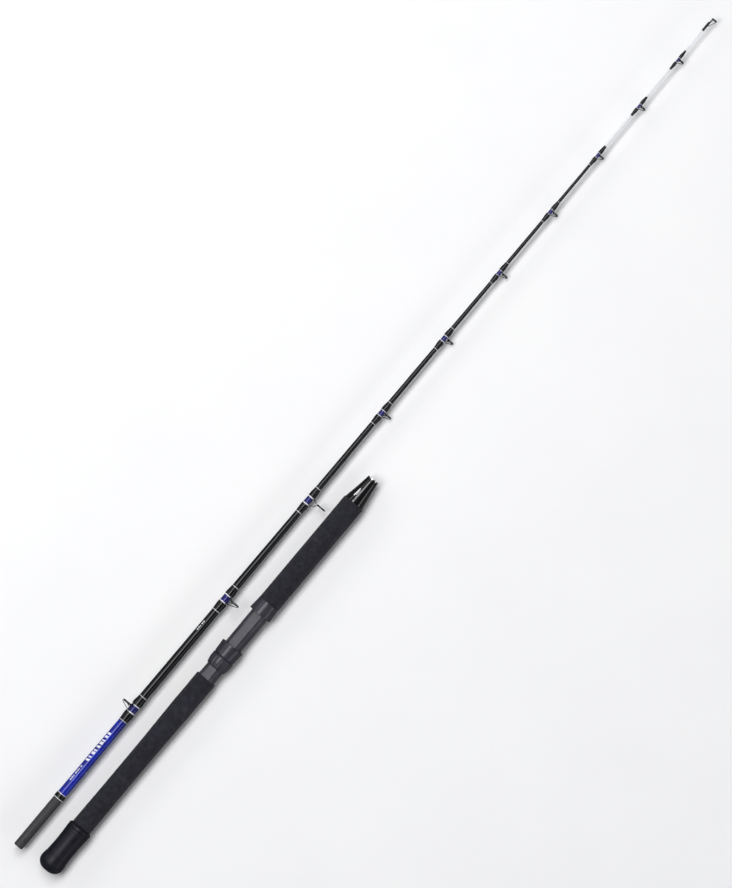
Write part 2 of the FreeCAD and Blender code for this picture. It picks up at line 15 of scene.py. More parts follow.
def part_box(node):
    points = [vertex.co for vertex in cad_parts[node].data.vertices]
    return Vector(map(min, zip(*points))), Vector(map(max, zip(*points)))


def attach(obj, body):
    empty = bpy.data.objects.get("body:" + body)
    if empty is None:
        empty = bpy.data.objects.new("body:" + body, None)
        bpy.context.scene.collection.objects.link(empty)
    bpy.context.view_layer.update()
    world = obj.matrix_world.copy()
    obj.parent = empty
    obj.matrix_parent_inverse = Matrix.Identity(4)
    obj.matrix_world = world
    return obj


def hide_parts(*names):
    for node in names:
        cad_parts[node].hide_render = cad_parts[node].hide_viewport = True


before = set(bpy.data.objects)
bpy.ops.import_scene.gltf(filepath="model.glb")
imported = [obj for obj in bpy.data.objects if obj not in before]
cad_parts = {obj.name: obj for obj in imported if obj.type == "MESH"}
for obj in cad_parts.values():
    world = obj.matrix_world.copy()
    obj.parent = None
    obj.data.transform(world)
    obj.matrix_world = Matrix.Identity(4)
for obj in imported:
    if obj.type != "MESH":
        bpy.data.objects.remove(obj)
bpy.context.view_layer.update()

# %% [markdown]
# ## Two axes to measure from
# Everything on a section is round the section's own axis. A point is given by its distance from
# the butt end, its radius and its roll, in millimetres and degrees: roll 0 is up, 90 is towards -Y.

# %% The axes of the two sections
MM = 0.001
Axis = namedtuple("Axis", "x y z")


def axis_of(round_node, butt_node):
    """The axis of a round node, counted from the low end of another node."""
    low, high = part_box(round_node)
    return Axis(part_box(butt_node)[0][0], (low[1] + high[1]) / 2, (low[2] + high[2]) / 2)


HANDLE = axis_of("handle_tube", "butt_cap")
TIP = axis_of("carbon_blank", "ferrule_spigot")
print("handle axis", [round(v, 4) for v in HANDLE], "tip axis", [round(v, 4) for v in TIP])


def place(axis, x, radius=0.0, roll=0.0):
    """A point in the frame, in metres."""
    turn = math.radians(roll)
    return Vector((
        axis.x + x * MM,
        axis.y - radius * MM * math.sin(turn),
        axis.z + radius * MM * math.cos(turn),
    ))


# %% [markdown]
# ## Outlines
# Every turned piece has one outline, as (distance from the butt, radius). It could be read off the
# frame's mesh, but a coarse mesh cuts its curves short between its points, so the outlines are
# written here as a maker would: straight tapers, and arcs through three points.

# %% Helpers for outlines
def span(node, axis):
    """Where a node starts and ends along its axis."""
    low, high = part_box(node)
    return (low[0] - axis.x) / MM, (high[0] - axis.x) / MM


def arc(start, middle, end, steps=24):
    """Points on the circle through three points, from start to end."""
    (ax, ay), (bx, by), (cx, cy) = start, middle, end
    det = 2 * (ax * (by - cy) + bx * (cy - ay) + cx * (ay - by))
    a2, b2, c2 = ax * ax + ay * ay, bx * bx + by * by, cx * cx + cy * cy
    x = (a2 * (by - cy) + b2 * (cy - ay) + c2 * (ay - by)) / det
    y = (a2 * (cx - bx) + b2 * (ax - cx) + c2 * (bx - ax)) / det
    radius = math.hypot(ax - x, ay - y)
    first, last = math.atan2(ay - y, ax - x), math.atan2(cy - y, cx - x)
    last -= math.tau * round((last - first) / math.tau)
    turns = [first + (last - first) * i / steps for i in range(steps + 1)]
    return [(x + radius * math.cos(t), y + radius * math.sin(t)) for t in turns]


def between(table, x):
    """The radius at x, from a table of (x, radius)."""
    for (x0, r0), (x1, r1) in zip(table, table[1:]):
        if x <= x1:
            return r0 + (r1 - r0) * max(x - x0, 0.0) / max(x1 - x0, 1e-6)
    return table[-1][1]


# %% The outlines, and a check against the frame
BLANK_END = 1262.0
BLANK = [(87.0, 6.85), (425.0, 5.8), (667.0, 4.25), (979.0, 2.9), (BLANK_END, 1.95)]
GLASS = [(BLANK_END, 1.75), (1496.0, 1.1)]
LACQUER_OVER = 0.12
CAP_SKIN = arc((0.0, 4.45), (4.1, 14.35), (14.0, 18.45))
CAP_SKIN += arc((14.0, 18.45), (19.0, 18.15), (24.0, 17.3), 8)[1:]
CAP_SKIN += arc((24.0, 17.3), (40.5, 16.7), (68.0, 17.8))[1:] + [(74.5, 17.8), (77.0, 15.6)]
REAR_SKIN = arc((77.4, 15.1), (131.5, 14.75), (185.6, 14.65))
REAR_SKIN += arc((185.6, 14.65), (237.0, 14.94), (288.5, 15.7))[1:] + [(348.0, 15.7)]
FORE_SKIN = [(484.0, 16.25), (667.5, 16.25)]
NOSE_SKIN = arc((667.5, 15.4), (687.95, 11.575), (708.4, 8.75))


def blank_r(x):
    """The outside radius of the blank, or of the glass tip beyond it."""
    return between(BLANK, x) if x <= BLANK_END else between(GLASS, x)


for node, axis, skin in (
    ("butt_cap", HANDLE, CAP_SKIN),
    ("rear_grip", HANDLE, REAR_SKIN),
    ("carbon_blank", TIP, BLANK),
):
    widest = (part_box(node)[1][2] - axis.z) / MM
    print(node, "widest in the frame", round(widest, 2), "and here", max(r for x, r in skin))


# %% [markdown]
# ## Tools for modelling
# Most pieces are turned: a closed outline is spun round the axis, then a shape function may push
# each outside vertex in or out. That is how a lathe and then a file would do it, and it keeps
# grooves, threads and flutes as real geometry. Each piece carries a UV map in millimetres, along
# and around, so that a winding can follow it.

# %% Finish a mesh as a piece
SHARP = math.radians(38)


def piece(name, bm, look, body, *covers, slot=None):
    """Turn a bmesh into a piece that rides on a body and stands for the nodes it covers."""
    bmesh.ops.recalc_face_normals(bm, faces=bm.faces[:])
    for face in bm.faces:
        face.smooth = True
    mesh = bpy.data.meshes.new(name)
    bm.to_mesh(mesh)
    bm.free()
    mesh.set_sharp_from_angle(angle=SHARP)
    mesh.materials.append(look)
    thing = bpy.data.objects.new(name, mesh)
    bpy.context.scene.collection.objects.link(thing)
    print(name, len(mesh.polygons), "faces on", body)
    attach(thing, body)
    if covers:
        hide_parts(*covers)
    return thing


def unwrap(bm, axis):
    """UV in millimetres: u along the axis, v around it at the face's own radius."""
    layer = bm.loops.layers.uv.verify()
    for face in bm.faces:
        middle = face.calc_center_median()
        base = math.atan2(axis.y - middle.y, middle.z - axis.z)
        r = math.hypot(middle.y - axis.y, middle.z - axis.z) / MM
        for loop in face.loops:
            at = loop.vert.co
            turn = math.atan2(axis.y - at.y, at.z - axis.z)
            turn += math.tau * round((base - turn) / math.tau)
            loop[layer].uv = ((at.x - axis.x) / MM, turn * r)


# %% Round the corners of an outline
CORNER_ROOM, SMALLEST_CORNER = 0.45, 0.02


def rounded(points, radius, steps=4):
    """The closed outline with every corner rounded, or as many as their edges leave room for."""
    soft = []
    count = len(points)
    for i, corner in enumerate(points):
        corner = Vector(corner)
        before = Vector(points[i - 1]) - corner
        after = Vector(points[(i + 1) % count]) - corner
        room = min(radius, CORNER_ROOM * before.length, CORNER_ROOM * after.length)
        if room < SMALLEST_CORNER or corner.y < 1e-6:
            soft.append(tuple(corner))
            continue
        start = corner + before.normalized() * room
        end = corner + after.normalized() * room
        for step in range(steps + 1):
            t = step / steps
            at = start * (1 - t) ** 2 + corner * (2 * t * (1 - t)) + end * t**2
            soft.append(tuple(at))
    return soft


def stations(x0, x1, step):
    """Evenly spaced stops from x0 to x1, no further apart than step."""
    count = max(1, math.ceil(abs(x1 - x0) / step))
    return [x0 + (x1 - x0) * i / count for i in range(count + 1)]


# %% Turn an outline round its axis
def turned(axis, points, segments=96, shape=None):
    """A closed outline of (x, radius), in millimetres, spun once round the axis."""
    bm = bmesh.new()
    verts = [bm.verts.new(place(axis, x, r)) for x, r in points]
    for a, b in zip(verts, verts[1:] + verts[:1]):
        if (a.co - b.co).length > 1e-7:
            bm.edges.new((a, b))
    bmesh.ops.spin(
        bm,
        geom=bm.verts[:] + bm.edges[:],
        cent=(0, axis.y, axis.z),
        axis=(1, 0, 0),
        angle=math.tau,
        steps=segments,
        use_merge=True,
    )
    bmesh.ops.remove_doubles(bm, verts=bm.verts[:], dist=2e-6)
    if shape:
        for vert in bm.verts:
            x = (vert.co.x - axis.x) / MM
            dy, dz = axis.y - vert.co.y, vert.co.z - axis.z
            r = math.hypot(dy, dz) / MM
            if r > 1e-3:
                new = shape(x, math.degrees(math.atan2(dy, dz)), r)
                vert.co.y = axis.y - dy * new / r
                vert.co.z = axis.z + dz * new / r
    unwrap(bm, axis)
    return bm


def sleeve(skin, bore):
    """A closed outline from an outside, as (x, radius) pairs, and a straight bore."""
    inside = [(skin[-1][0], bore), (skin[0][0], bore)]
    return list(skin) + inside


# %% Sweep a round wire along a path
def smooth_path(points, steps=8):
    """A curve through the points, in metres."""
    ends = [points[0] * 2 - points[1]] + list(points) + [points[-1] * 2 - points[-2]]
    path = []
    for a, b, c, d in zip(ends, ends[1:], ends[2:], ends[3:]):
        for step in range(steps):
            t = step / steps
            bend = (a * 2 - b * 5 + c * 4 - d) * t**2 + (b * 3 - a - c * 3 + d) * t**3
            path.append((b * 2 + (c - a) * t + bend) / 2)
    return path + [points[-1]]


def sweep(bm, path, radius, sides=12, flat=1.0, wide=Vector((0, 1, 0))):
    """A round or flattened bar along a path. radius is in millimetres, as a number or a function."""
    rings = []
    for i, at in enumerate(path):
        along = (path[min(i + 1, len(path) - 1)] - path[max(i - 1, 0)]).normalized()
        side = (wide - along * wide.dot(along)).normalized()
        up = along.cross(side)
        share = i / (len(path) - 1)
        r = (radius(share) if callable(radius) else radius) * MM
        ring = []
        for k in range(sides):
            turn = math.tau * k / sides
            ring.append(bm.verts.new(at + side * (r * math.cos(turn)) + up * (r * flat * math.sin(turn))))
        rings.append(ring)
    edges = []
    for ring in rings:
        edges.append([bm.edges.new((a, b)) for a, b in zip(ring, ring[1:] + ring[:1])])
    for a, b in zip(edges, edges[1:]):
        bmesh.ops.bridge_loops(bm, edges=a + b)
    bm.faces.new(rings[0])
    bm.faces.new(rings[-1])
    return bm


def joined(first, *others):
    """Several meshes as one."""
    for other in others:
        spare = bpy.data.meshes.new("spare")
        other.to_mesh(spare)
        other.free()
        first.from_mesh(spare)
        bpy.data.meshes.remove(spare)
    return first


# %% [markdown]
# ## Looks
# A look is a small network of nodes that end in one Principled shader. It could be painted into
# image files, but nodes stay sharp at any distance and need no files. Patterns are sized in
# millimetres: Object coordinates times 1000 for grain, and the pieces' own UV map for what runs
# round them. Two helpers stack things: painted lays colours over each other, relief lays bumps.

# %% Colours and nodes
def linear(hex_colour):
    """An sRGB hex colour as linear RGBA."""
    channels = [int(hex_colour[i:i + 2], 16) / 255 for i in (1, 3, 5)]
    return tuple(c / 12.92 if c <= 0.04045 else ((c + 0.055) / 1.055) ** 2.4 for c in channels) + (1.0,)


def add(tree, kind, inputs=(), out=0, **settings):
    """One output of a new node. Its inputs are values or other outputs, in order or by name."""
    node = tree.nodes.new("ShaderNode" + kind)
    for key, value in settings.items():
        setattr(node, key, value)
    for key, value in inputs.items() if isinstance(inputs, dict) else enumerate(inputs):
        if isinstance(value, bpy.types.NodeSocket):
            tree.links.new(value, node.inputs[key])
        else:
            node.inputs[key].default_value = value
    return node.outputs[out] if node.outputs else None


# %% Patterns and stacks
def millimetres(tree, stretch=(1, 1, 1)):
    """Object coordinates in millimetres. A stretch below 1 draws a pattern out that way."""
    coords = add(tree, "TexCoord", out="Object")
    return add(tree, "VectorMath", (coords, tuple(1000.0 * s for s in stretch)), operation="MULTIPLY")


def grain(tree, size, detail=4.0, rough=0.55, stretch=(1, 1, 1)):
    """Noise whose features are about size millimetres across, as a value from 0 to 1."""
    inputs = {"Vector": millimetres(tree, stretch), "Scale": 1.0 / size, "Detail": detail, "Roughness": rough}
    return add(tree, "TexNoise", inputs)


def wound(tree, slope):
    """Millimetres along a piece, climbing by slope for each millimetre round it, as a winding does."""
    uv = add(tree, "UVMap")
    round_it = add(tree, "Math", (add(tree, "SeparateXYZ", (uv,), "Y"), slope), operation="MULTIPLY")
    return add(tree, "Math", (add(tree, "SeparateXYZ", (uv,), "X"), round_it), operation="ADD")


def painted(tree, base, *coats):
    """A base colour with others laid over it, each as (share, colour)."""
    colour = linear(base)
    for share, over in coats:
        colour = add(tree, "Mix", {0: share, 6: colour, 7: linear(over)}, 2, data_type="RGBA")
    return colour


def relief(tree, *layers):
    """A normal bumped by each (height, depth in millimetres) in turn."""
    normal = None
    for height, depth in layers:
        inputs = {"Height": height, "Distance": depth * MM}
        if normal:
            inputs["Normal"] = normal
        normal = add(tree, "Bump", inputs)
    return normal


def look(name, **values):
    """An empty material: its tree and its shader, with the constant values set on the shader."""
    made = bpy.data.materials.new(name)
    made.use_nodes = True
    tree = made.node_tree
    tree.nodes.clear()
    surface = add(tree, "BsdfPrincipled")
    add(tree, "OutputMaterial", {"Surface": surface})
    for key, value in values.items():
        surface.node.inputs[key.replace("_", " ")].default_value = value
    return made, tree, surface.node


def wire_up(tree, shader, **sockets):
    """Link outputs to the shader's sockets."""
    for key, socket in sockets.items():
        tree.links.new(socket, shader.inputs[key.replace("_", " ")])


# %% [markdown]
# ## Foam of the grips
# The grips are EVA foam, moulded as a tube and ground round. That gives a dead matt black with fine
# open cells, a little cloudy, and rubbed smoother and paler where hands hold it. The cells are 0.35
# mm noise with 0.6 mm pores from a Voronoi pattern, both drawn coarser than real ones so that they
# show; the pores are also painted near black as painted shade. A little sheen stands for the fuzz of
# the ground skin.

# %% Foam
def foam_look():
    made, tree, shader = look("eva_foam", Sheen_Weight=0.06, Sheen_Roughness=0.5, Specular_IOR_Level=0.16)
    cells, mottle = grain(tree, 0.35, 5.0), grain(tree, 7.0, 3.0)
    pores = add(tree, "TexVoronoi", {"Vector": millimetres(tree), "Scale": 1.6}, feature="F1")
    holes = add(tree, "MapRange", (pores, 0.05, 0.28))
    rub = add(tree, "MapRange", (grain(tree, 22.0, 4.0), 0.58, 0.72))
    wire_up(
        tree,
        shader,
        Base_Color=painted(
            tree,
            "#212127",
            (add(tree, "MapRange", (mottle, 0.35, 0.65)), "#2c2c34"),
            (add(tree, "MapRange", (cells, 0.55, 0.72, 0.0, 0.45)), "#3d3d46"),
            # painted shade: the pores are painted near black as well as bumped
            (add(tree, "MapRange", (holes, 0.0, 1.0, 0.55, 0.0)), "#0c0c0f"),
            (add(tree, "Math", (rub, 0.25), operation="MULTIPLY"), "#4c4c54"),
        ),
        Roughness=add(tree, "MapRange", (rub, 0.0, 1.0, 0.93, 0.74)),
        Normal=relief(tree, (cells, 0.16), (holes, 0.12)),
    )
    return made


# %% [markdown]
# ## Moulded rubber and plastics
# The cap is moulded rubber, the seat, nut and hoods are graphite-filled nylon, and the nock and the
# arbors are plain polymer. All come out of a mould, so one recipe serves: a fine even texture, a
# slightly cloudy tone and scuffs that are paler and rougher. Filled nylon also shows pale flecks of
# fibre, drawn at 0.18 mm.

# %% Mouldings
SCUFF_SHARE, SCUFF_ROUGHNESS = 0.3, 0.15


def moulded_look(name, dark, light, rough, texture, depth, fleck=0.0, coat=0.0, shine=0.3):
    made, tree, shader = look(name, Coat_Weight=coat, Coat_Roughness=0.12, Specular_IOR_Level=shine)
    fine, cloud = grain(tree, texture, 3.0), grain(tree, 9.0, 3.0)
    scuffs = add(tree, "MapRange", (grain(tree, 1.8, 6.0, 0.7, (0.25, 1, 1)), 0.66, 0.8))
    coats = [(add(tree, "MapRange", (cloud, 0.3, 0.7)), light)]
    if fleck:
        coats.append((add(tree, "MapRange", (grain(tree, 0.18, 2.0), 0.62, 0.75, 0.0, fleck)), "#9a9aa4"))
    coats.append((add(tree, "Math", (scuffs, SCUFF_SHARE), operation="MULTIPLY"), "#5c5c66"))
    spread = add(tree, "MapRange", (cloud, 0.25, 0.75, rough - 0.07, rough + 0.08))
    rougher = add(tree, "Math", (scuffs, SCUFF_ROUGHNESS), operation="MULTIPLY")
    wire_up(
        tree,
        shader,
        Base_Color=painted(tree, dark, *coats),
        Roughness=add(tree, "Math", (spread, rougher), operation="ADD", use_clamp=True),
        Normal=relief(tree, (fine, depth)),
    )
    return made


# %% [markdown]
# ## Clear-coated blanks
# A blank is carbon or glass cloth, rolled on a steel core and bound with tape while it cures. The
# tape leaves faint turns every 3.2 mm that the clear coat only half hides. The eye sees a deep
# gloss, hair-fine fibres along the rod and a little dust in the coat. Low specular on the base and a
# separate coat give the dark depth of lacquer.

# %% Blanks
TAPE_PITCH = 3.2


def blank_look(name, dark, light, flake="#000000", flake_share=0.0, metal=0.0, coat=0.5):
    made, tree, shader = look(name, Coat_Weight=coat, Coat_IOR=1.5, Metallic=metal, Specular_IOR_Level=0.1)
    turns = add(tree, "Math", (wound(tree, 0.06), math.tau / TAPE_PITCH), operation="MULTIPLY")
    tape = add(tree, "Math", (turns,), operation="SINE")
    fibre = grain(tree, 0.22, 3.0, 0.5, (0.15, 1, 1))
    spark = add(tree, "MapRange", (grain(tree, 0.12, 1.0), 0.66, 0.74, 0.0, flake_share))
    dust = add(tree, "MapRange", (grain(tree, 3.0, 6.0, 0.7), 0.6, 0.78))
    cloud = add(tree, "MapRange", (grain(tree, 14.0, 3.0), 0.35, 0.65))
    wire_up(
        tree,
        shader,
        Base_Color=painted(tree, dark, (cloud, light), (spark, flake)),
        Roughness=add(tree, "MapRange", (fibre, 0.3, 0.7, 0.24, 0.4)),
        Coat_Roughness=add(tree, "MapRange", (dust, 0.0, 1.0, 0.035, 0.16)),
        Normal=relief(tree, (tape, 0.006), (fibre, 0.015)),
        Coat_Normal=relief(tree, (tape, 0.004)),
    )
    return made


# %% [markdown]
# ## Thread under epoxy
# The guides are bound on with nylon thread, then brushed with epoxy on a turning rod. The eye sees
# fine turns side by side, no two quite the same tone, under a thick clear coat that hardly follows
# them. The grooves between turns are painted near black as painted shade. Real thread is about
# 0.15 mm; the pitch here is 0.24 mm so that the turns can show.

# %% Thread
def thread_look(name, dark, light, metal, gap=0.6, pitch=0.24):
    made, tree, shader = look(
        name, Coat_Weight=0.55, Coat_Roughness=0.04, Metallic=metal, Specular_IOR_Level=0.1
    )
    run = wound(tree, 0.005)
    wave = add(tree, "Math", (run, math.pi / pitch), operation="MULTIPLY")
    ridges = add(tree, "Math", (add(tree, "Math", (wave,), operation="SINE"),), operation="ABSOLUTE")
    count = add(tree, "Math", (add(tree, "Math", (run, pitch), operation="DIVIDE"),), operation="FLOOR")
    each = add(tree, "TexWhiteNoise", {"W": count}, noise_dimensions="1D")
    wire_up(
        tree,
        shader,
        Base_Color=painted(
            tree,
            dark,
            (add(tree, "MapRange", (each, 0.0, 1.0, 0.0, 0.6)), light),
            # painted shade: the grooves between turns are painted near black, as dark as gap says
            (add(tree, "MapRange", (ridges, 0.0, 0.5, gap, 0.0)), "#050507"),
        ),
        Roughness=add(tree, "MapRange", (each, 0.0, 1.0, 0.3, 0.46)),
        Normal=relief(tree, (ridges, 0.05)),
        Coat_Normal=relief(tree, (grain(tree, 2.6, 2.0), 0.02), (ridges, 0.003)),
    )
    return made


# %% [markdown]
# ## Metal and ceramic
# The guide frames are drawn stainless wire with a black finish, and the nose's ring is bright
# metal. Drawn lines run along the wire, and the finish dulls in spots. The guides' rings are fired
# ceramic, ground and polished: near black, very smooth, with grooves where line has run.

# %% Metal
def metal_look(name, dark, light, rough, brushed=(1, 1, 1)):
    made, tree, shader = look(name, Metallic=1.0)
    drawn = grain(tree, 0.3, 4.0, 0.6, brushed)
    worn = add(tree, "MapRange", (grain(tree, 2.2, 5.0, 0.7), 0.5, 0.7))
    wire_up(
        tree,
        shader,
        Base_Color=painted(
            tree,
            dark,
            (add(tree, "MapRange", (drawn, 0.3, 0.7)), light),
            (add(tree, "Math", (worn, 0.4), operation="MULTIPLY"), light),
        ),
        Roughness=add(tree, "MapRange", (worn, 0.0, 1.0, rough, rough + 0.14)),
        Normal=relief(tree, (drawn, 0.01)),
    )
    return made


# %% Ceramic
def ceramic_look():
    made, tree, shader = look("ring_ceramic", Coat_Weight=0.6, Coat_Roughness=0.03, Specular_IOR_Level=0.8)
    cloud = grain(tree, 1.6, 3.0)
    groove = add(tree, "MapRange", (grain(tree, 0.8, 5.0, 0.7, (0.1, 1, 1)), 0.55, 0.7))
    wire_up(
        tree,
        shader,
        Base_Color=painted(tree, "#26282b", (cloud, "#3b3d42")),
        Roughness=add(tree, "MapRange", (groove, 0.0, 1.0, 0.07, 0.2)),
        Normal=relief(tree, (cloud, 0.006)),
    )
    return made


# %% [markdown]
# ## Sanded carbon, white glass and ink
# The spigot is bare carbon, sanded round and round, and rubbed shiny where the socket grips it. The
# tip is solid white glass, ground and coated: long fibres show faintly and light goes a little way
# in. The marks are pad-printed ink, thin in places.

# %% Spigot
def spigot_look():
    made, tree, shader = look("sanded_spigot", Specular_IOR_Level=0.3)
    lines = grain(tree, 0.5, 4.0, 0.6, (6, 0.3, 0.3))
    gripped = add(tree, "MapRange", (wound(tree, 0.0), 18.0, 60.0, 1.0, 0.0))
    patches = add(tree, "MapRange", (grain(tree, 6.0), 0.42, 0.6))
    rubbed = add(tree, "Math", (gripped, patches), operation="MULTIPLY")
    wire_up(
        tree,
        shader,
        Base_Color=painted(
            tree,
            "#2f2e30",
            (add(tree, "MapRange", (lines, 0.3, 0.7)), "#484749"),
            (add(tree, "Math", (rubbed, 0.5), operation="MULTIPLY"), "#222224"),
        ),
        Roughness=add(tree, "MapRange", (rubbed, 0.0, 1.0, 0.62, 0.36)),
        Normal=relief(tree, (lines, 0.03)),
    )
    return made


# %% White glass
def glass_look():
    made, tree, shader = look(
        "white_glass",
        Coat_Weight=0.8,
        Coat_Roughness=0.06,
        Subsurface_Weight=0.15,
        Subsurface_Radius=(0.0012, 0.0012, 0.0014),
        Subsurface_Scale=1.0,
    )
    fibre = grain(tree, 0.4, 4.0, 0.6, (0.04, 1, 1))
    stain = add(tree, "MapRange", (grain(tree, 12.0, 4.0), 0.5, 0.75, 0.0, 0.35))
    wire_up(
        tree,
        shader,
        Base_Color=painted(
            tree, "#eeeef3", (add(tree, "MapRange", (fibre, 0.35, 0.7)), "#d3d4dd"), (stain, "#c9c5b8")
        ),
        Roughness=add(tree, "MapRange", (fibre, 0.3, 0.7, 0.2, 0.34)),
        Normal=relief(tree, (fibre, 0.02)),
    )
    return made


# %% Ink
def ink_look():
    made, tree, shader = look("pale_ink", Coat_Weight=0.5, Coat_Roughness=0.1)
    thin = add(tree, "MapRange", (grain(tree, 0.5, 5.0, 0.7), 0.6, 0.75))
    faded = add(tree, "Math", (thin, 0.5), operation="MULTIPLY")
    wire_up(
        tree,
        shader,
        Base_Color=painted(tree, "#e9eaf0", (faded, "#9fa3c4")),
        Roughness=add(tree, "MapRange", (thin, 0.0, 1.0, 0.3, 0.5)),
        Normal=relief(tree, (thin, 0.005)),
    )
    return made


# %% Make the looks
FOAM = foam_look()
RUBBER = moulded_look("cap_rubber", "#101019", "#191923", 0.44, 0.25, 0.04, shine=0.22)
GRAPHITE = moulded_look("graphite_seat", "#302f37", "#403f49", 0.38, 0.3, 0.012, fleck=0.5, coat=0.1)
HOOD_SATIN = moulded_look("hood_satin", "#28272f", "#35343e", 0.38, 0.3, 0.012, fleck=0.3, coat=0.2)
NOCK = moulded_look("nock_polymer", "#161617", "#232324", 0.55, 0.4, 0.03)
ARBOR = moulded_look("arbor_foam", "#c3b489", "#d8cba4", 0.85, 0.5, 0.15)
TUBE = blank_look("glass_tube", "#111116", "#1b1b21")
NOSE = blank_look("nose_gloss", "#030305", "#07070a", coat=0.9)
CARBON = blank_look("carbon_gloss", "#060608", "#0d0d11", "#40404a", 0.25)
LACQUER = blank_look("blue_lacquer", "#07147c", "#1026a8", "#4a68ff", 0.5, 0.1, coat=0.7)
BLACK_THREAD = thread_look("black_thread", "#060608", "#101015", 0.0)
BLUE_THREAD = thread_look("blue_thread", "#242489", "#3d3bb0", 0.3)
# gap is the share of painted shade in the grooves between the turns
SILVER_THREAD = thread_look("silver_thread", "#dedee4", "#fcfcfe", 0.15, gap=0.12)
WIRE = metal_look("dark_steel", "#262a29", "#3c4140", 0.26, (0.3, 1, 1))
SILVER = metal_look("bright_trim", "#b9b9bf", "#e6e6ea", 0.16)
CERAMIC = ceramic_look()
SPIGOT = spigot_look()
GLASS_WHITE = glass_look()
INK = ink_look()
for made in (FOAM, RUBBER, GRAPHITE, CARBON, LACQUER, BLACK_THREAD, WIRE, CERAMIC, SPIGOT, GLASS_WHITE, INK):
    print(made.name, len(made.node_tree.nodes), "nodes")

# %% [markdown]
# ## The handle: the rubber cap
# From the butt, the handle has a rubber cap over a slotted nock, the long rear grip, the reel seat,
# the fore grip and a gloss nose with the socket that takes the spigot. The cap is moulded and pulls
# off. It could be a sphere joined to a tube, but one turned outline keeps its waist smooth, and a
# shape function adds the grooves and the moulding line.

# %% The rubber cap
CAP_BORE_R, CAP_FLOOR, CAP_FLAT = 14.2, 12.0, 1.5
CAP_GROOVES = ((70.2, 0.45, 0.5), (64.5, 0.5, 0.22), (24.5, 0.6, 0.2))
MOULD_LINE, MOULD_LINE_WIDTH, MOULD_LINE_HEIGHT = 20.0, 1.2, 0.1


def cap_shape(x, roll, r):
    """Fine grooves round the lip and a moulding line down each side."""
    if r < CAP_BORE_R + 1.0 or x < CAP_FLAT:
        return r
    for at, width, depth in CAP_GROOVES:
        r -= depth * math.exp(-(((x - at) / width) ** 2))
    off = (roll - MOULD_LINE + 90.0) % 180.0 - 90.0
    return r + MOULD_LINE_HEIGHT * math.exp(-((off / MOULD_LINE_WIDTH) ** 2))


skin = [(x, between(CAP_SKIN, x)) for x in stations(14.0, 74.0, 0.2)]
dome = [pair for pair in CAP_SKIN if pair[0] < 13.9]
lip = [(75.2, 17.3), (76.2, 16.5), (76.8, 15.5), (77.0, 14.8), (77.0, CAP_BORE_R)]
cap_points = [(0.0, 0.0)] + dome + skin + lip + [(CAP_FLOOR, CAP_BORE_R), (CAP_FLOOR, 0.0)]
piece("cap_shell", turned(HANDLE, cap_points, 160, cap_shape), RUBBER, "butt_cap", "butt_cap",
      slot="cap_rubber")

# %% [markdown]
# ## The foam grips
# Each grip is a foam tube ground to an outline and slid on with glue. It could be a plain cylinder,
# but ground foam is never quite true, so noise adds broad dents and a fine unevenness of a tenth of
# a millimetre. Its ends are ground round.

# %% The foam grips
DENT, UNEVEN = 0.12, 0.05


def foam_shape(seed, bore):
    """Broad dents and a fine unevenness on the outside only."""
    def shape(x, roll, r):
        if r < bore:
            return r
        turn = math.radians(roll)
        at = Vector((x / 14.0, math.cos(turn) * 1.4 + seed, math.sin(turn) * 1.4))
        return r + DENT * noise.noise(at) + UNEVEN * noise.noise(at * 6.0)
    return shape


def grip(node, skin, seed, bore, step=1.0):
    """A sleeve of foam with its corners turned off."""
    x0, x1 = skin[0][0], skin[-1][0]
    edge = 1.0
    outside = [(x, between(skin, x)) for x in stations(x0 + edge, x1 - edge, step)]
    first, last = outside[0][1], outside[-1][1]
    start = [(x0, first - 1.3), (x0 + 0.25, first - 0.55), (x0 + 0.6, first - 0.2)]
    end = [(x1 - 0.6, last - 0.2), (x1 - 0.25, last - 0.55), (x1, last - 1.3)]
    made = turned(HANDLE, sleeve(start + outside + end, bore), 112, foam_shape(seed, bore + 0.6))
    thing = piece(node + "_foam", made, FOAM, "handle", node, slot="eva_foam")
    print(node, round(x1 - x0, 1), "mm long")


GRIP_BORE_R = 13.3
grip("rear_grip", REAR_SKIN, 3.0, GRIP_BORE_R)
grip("fore_grip", FORE_SKIN, 11.0, GRIP_BORE_R)

# %% [markdown]
# ## The reel seat's barrel
# The barrel is moulded with a thread for the nut, cut off by the flat saddle that the reel's foot
# sits on. A thread could be a bump in the look, but it shows against the light, so it is cut into
# the mesh: the tooth's phase grows with distance and with roll, which makes it a true helix.

# %% The threaded barrel
SEAT_ROLL = -15.0
SEAT_R, SADDLE_HEIGHT = 13.3, 11.6
PITCH, THREAD_DEPTH = 2.0, 0.42
THREAD, RUN_IN, RUN_OUT, TOOTH_SLOPE = (350.5, 441.0), 1.5, 2.5, 2.4
BARREL_BORE_R = 10.05


def barrel_shape(x, roll, r):
    """A thread of 2 mm pitch that fades in and out, then the flat saddle over everything."""
    if r < SEAT_R - 0.3:
        return r
    inside = min(max((x - THREAD[0]) / RUN_IN, 0.0), 1.0) * min(max((THREAD[1] - x) / RUN_OUT, 0.0), 1.0)
    phase = (x / PITCH - roll / 360.0) % 1.0
    tooth = min(1.0, TOOTH_SLOPE * abs(phase - 0.5))
    r -= THREAD_DEPTH * inside * (1.0 - tooth)
    facing = math.cos(math.radians(roll - SEAT_ROLL))
    return min(r, SADDLE_HEIGHT / facing) if facing > 0.5 else r


seat_x0, seat_x1 = span("reel_seat_barrel", HANDLE)
barrel_points = sleeve([(x, SEAT_R) for x in stations(seat_x0, seat_x1, 0.25)], BARREL_BORE_R)
piece("seat_barrel_threaded", turned(HANDLE, barrel_points, 144, barrel_shape), GRAPHITE, "handle",
      "reel_seat_barrel", slot="graphite_seat")

# %% [markdown]
# ## The lock nut
# The nut pushes the sliding hood against the reel's foot and is turned by the fingers. Its back is
# a quarter wave up to its full size, and twelve flutes give the grip. They could be cut with a
# boolean, but a raised cosine run round the outside gives soft flutes that fade out by themselves.

